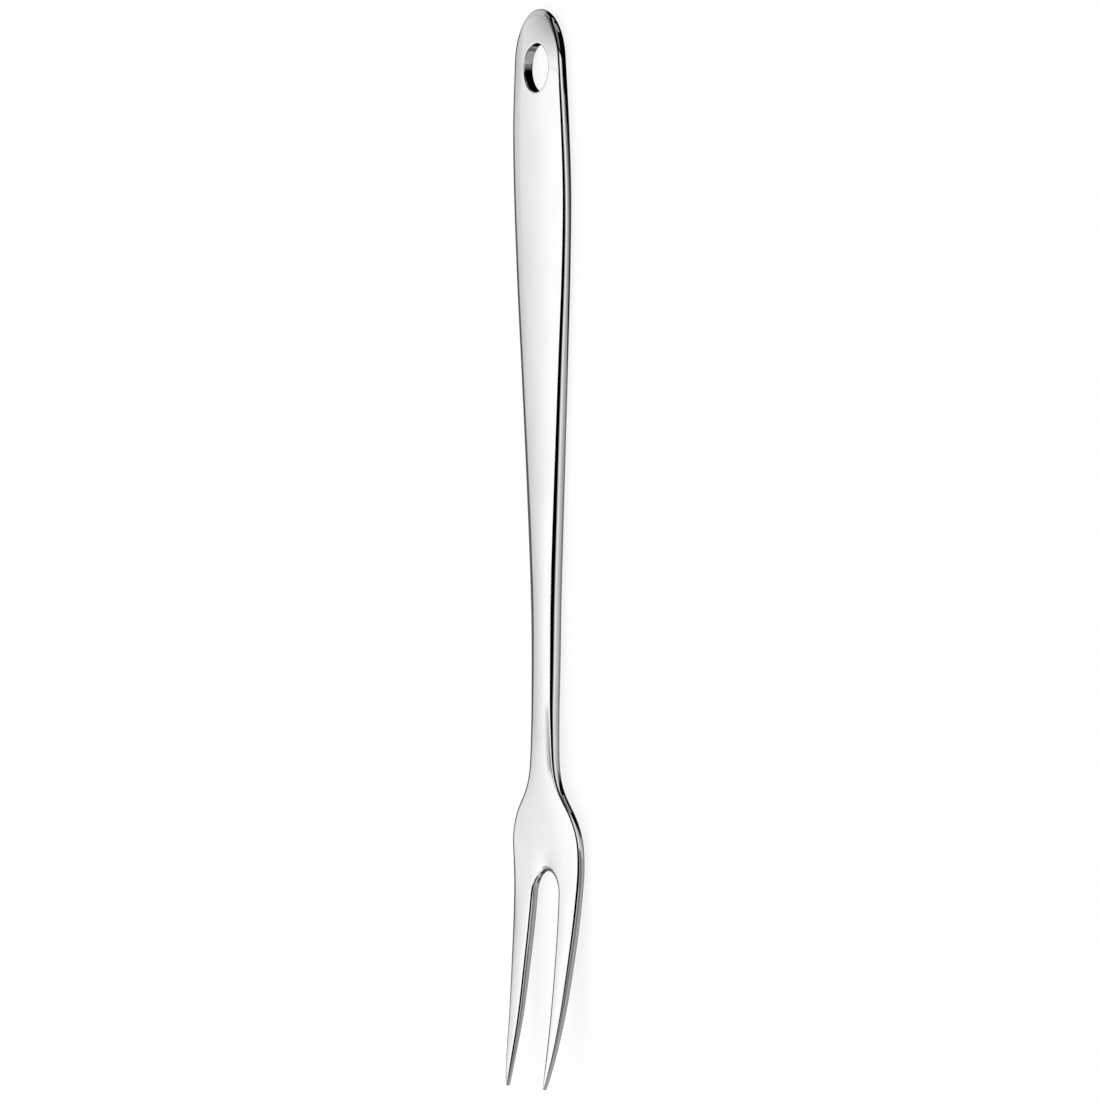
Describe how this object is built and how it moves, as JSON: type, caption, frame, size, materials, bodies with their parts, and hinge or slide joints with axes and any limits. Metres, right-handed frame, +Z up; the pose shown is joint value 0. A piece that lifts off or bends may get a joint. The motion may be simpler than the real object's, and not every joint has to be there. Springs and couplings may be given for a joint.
{
  "type": "meat fork",
  "caption": "Two-tined meat fork in one piece of polished steel, with a wide crowned handle and a round hanging hole.",
  "frame": {"origin": "on the table, below the middle of the fork's length and width, with the fork lying on its back as it comes to rest", "axes": "+Y along the fork, from the tine tips to the handle end; +Z up, on the side to which the tines curve; +X across the fork"},
  "size_m": [0.0382, 0.3, 0.0106],
  "materials": {
    "steel": "mirror-polished stainless steel"
  },
  "bodies": {
    "root": {"meat_fork": "steel"}
  },
  "joints": []
}
